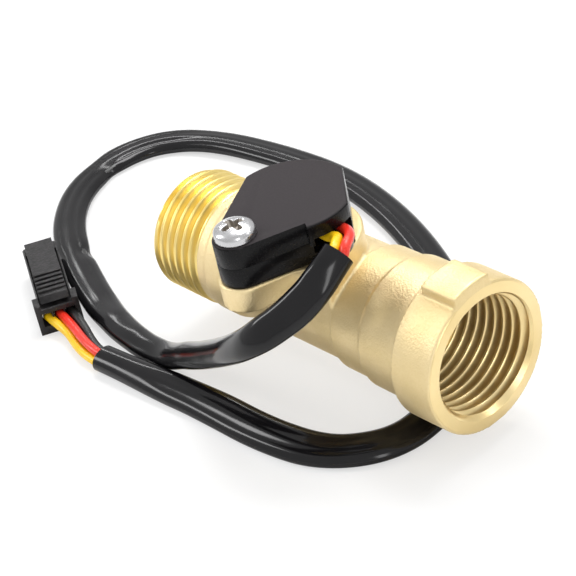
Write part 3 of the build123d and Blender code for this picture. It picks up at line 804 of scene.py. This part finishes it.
red_pvc = finish(
    "red PVC", (0.74, 0.025, 0.012), (0.82, 0.04, 0.02), (0.26, 0.34), grain=0.8, patches=5
)
yellow_pvc = finish(
    "yellow PVC", (0.88, 0.52, 0.006), (0.93, 0.60, 0.012), (0.26, 0.34), grain=0.8, patches=5
)
black_pvc = finish(
    "black PVC", (0.012, 0.012, 0.012), (0.02, 0.02, 0.02), (0.26, 0.34), grain=0.8, patches=5
)
wire_piece("red_wire_run", wire_route(
    [(-0.0290, -0.00315, 0.0185), (-0.0264, -0.0033, 0.01855), (-0.0239, -0.0035, 0.0176),
     (-0.0217, -0.0038, 0.0175), (-0.0199, -0.0044, 0.0182), (-0.0178, -0.0058, 0.0188),
     (-0.0167, -0.0080, 0.0187)],
    (-0.85, 0.45), (0.0, 0.55),
    [(-0.0716, -0.0232, -0.0132), (-0.0752, -0.0223, -0.0132), (-0.0795, -0.0209, -0.0132),
     (-0.0845, -0.0198, -0.0132)],
), red_pvc, "red_wire")
wire_piece("yellow_wire_run", wire_route(
    [(-0.0290, -0.00705, 0.0185), (-0.0264, -0.0069, 0.01855), (-0.0241, -0.0066, 0.0176),
     (-0.0222, -0.0065, 0.01735), (-0.0208, -0.0064, 0.0179), (-0.0194, -0.0069, 0.0185),
     (-0.0186, -0.0081, 0.0187)],
    (0.85, 0.45), (-1.05, -0.35),
    [(-0.0720, -0.0242, -0.0146), (-0.0758, -0.0233, -0.0146), (-0.0795, -0.0219, -0.0145),
     (-0.0824, -0.0217, -0.0141), (-0.0855, -0.0217, -0.0132)],
), yellow_pvc, "yellow_wire")
wire_piece("black_wire_run", wire_route(
    [(-0.0290, -0.0051, 0.0185), (-0.0266, -0.0051, 0.01855), (-0.0245, -0.00505, 0.0169),
     (-0.0223, -0.0050, 0.01615), (-0.0196, -0.0050, 0.0166), (-0.0179, -0.0064, 0.0174),
     (-0.0172, -0.0078, 0.0175)],
    (0.0, -0.6), (1.05, -0.35),
    [(-0.0712, -0.0220, -0.0144), (-0.0746, -0.0209, -0.0144), (-0.0787, -0.0193, -0.0136),
     (-0.0835, -0.0180, -0.0132)],
), black_pvc, "black_wire")


# The part lies on a white paper sweep, under a soft light and a long thin one from above and
# behind and two fills, so the brass stays pale and the black pieces show long highlights
table = bpy.data.objects.new("sweep", bpy.data.meshes.new("sweep"))
sweep = bmesh.new()
bmesh.ops.create_grid(sweep, x_segments=2, y_segments=2, size=3)
sweep.to_mesh(table.data)
sweep.free()
table.location = (0, 0, table_z - 0.00002)
bpy.context.scene.collection.objects.link(table)
white_paper = bpy.data.materials.new("white paper")
white_paper.use_nodes = True
nodes, links = white_paper.node_tree.nodes, white_paper.node_tree.links
surface = nodes["Principled BSDF"]
surface.inputs["Base Color"].default_value = (0.93, 0.93, 0.93, 1)
surface.inputs["Roughness"].default_value = 0.9
surface.inputs["Specular IOR Level"].default_value = 0.1
bright = nodes.new("ShaderNodeEmission")
bright.inputs["Color"].default_value = (1, 1, 1, 1)
seen_direct = nodes.new("ShaderNodeLightPath")
share = nodes.new("ShaderNodeMath")
share.operation = "MULTIPLY"
share.inputs[1].default_value = 0.6
links.new(seen_direct.outputs["Is Camera Ray"], share.inputs[0])
paper = nodes.new("ShaderNodeMixShader")
links.new(share.outputs["Value"], paper.inputs["Fac"])
links.new(surface.outputs["BSDF"], paper.inputs[1])
links.new(bright.outputs["Emission"], paper.inputs[2])
links.new(paper.outputs["Shader"], nodes["Material Output"].inputs["Surface"])
table.data.materials.append(white_paper)

room = bpy.data.worlds.new("white room")
room.use_nodes = True
bpy.context.scene.world = room
nodes, links = room.node_tree.nodes, room.node_tree.links
backdrop = nodes["Background"]
rays = nodes.new("ShaderNodeLightPath")
seen = nodes.new("ShaderNodeMath")
seen.operation = "MAXIMUM"
links.new(rays.outputs["Is Camera Ray"], seen.inputs[0])
links.new(rays.outputs["Is Transmission Ray"], seen.inputs[1])
shine = nodes.new("ShaderNodeMath")
shine.operation = "MULTIPLY_ADD"
shine.inputs[1].default_value = 0.30
links.new(rays.outputs["Is Glossy Ray"], shine.inputs[0])
glow = nodes.new("ShaderNodeMath")
glow.operation = "MULTIPLY_ADD"
glow.inputs[1].default_value = 0.45
glow.inputs[2].default_value = 0.55
links.new(seen.outputs["Value"], glow.inputs[0])
links.new(glow.outputs["Value"], shine.inputs[2])
links.new(shine.outputs["Value"], backdrop.inputs["Strength"])
backdrop.inputs["Color"].default_value = (1, 1, 1, 1)


def soft_light(name, place, aim, size, power):
    light = bpy.data.lights.new(name, "AREA")
    light.shape = "RECTANGLE"
    light.size, light.size_y = size
    light.energy = power
    lamp = bpy.data.objects.new(name, light)
    lamp.location = place
    lamp.rotation_euler = (Vector(aim) - Vector(place)).to_track_quat("-Z", "Y").to_euler()
    bpy.context.scene.collection.objects.link(lamp)


soft_light("top_light", (-0.10, 0.20, 0.55), (-0.04, 0, 0), (0.34, 0.14), 1.7)
soft_light("long_strip", (-0.10, 0.32, 0.44), (-0.04, 0, 0), (1.40, 0.03), 2.0)
soft_light("left_light", (-0.45, -0.30, 0.35), (-0.04, 0, 0), (0.10, 0.36), 1.2)
soft_light("right_light", (0.45, -0.25, 0.30), (-0.02, 0, 0), (0.10, 0.36), 0.7)

bpy.context.scene.view_settings.view_transform = "Standard"
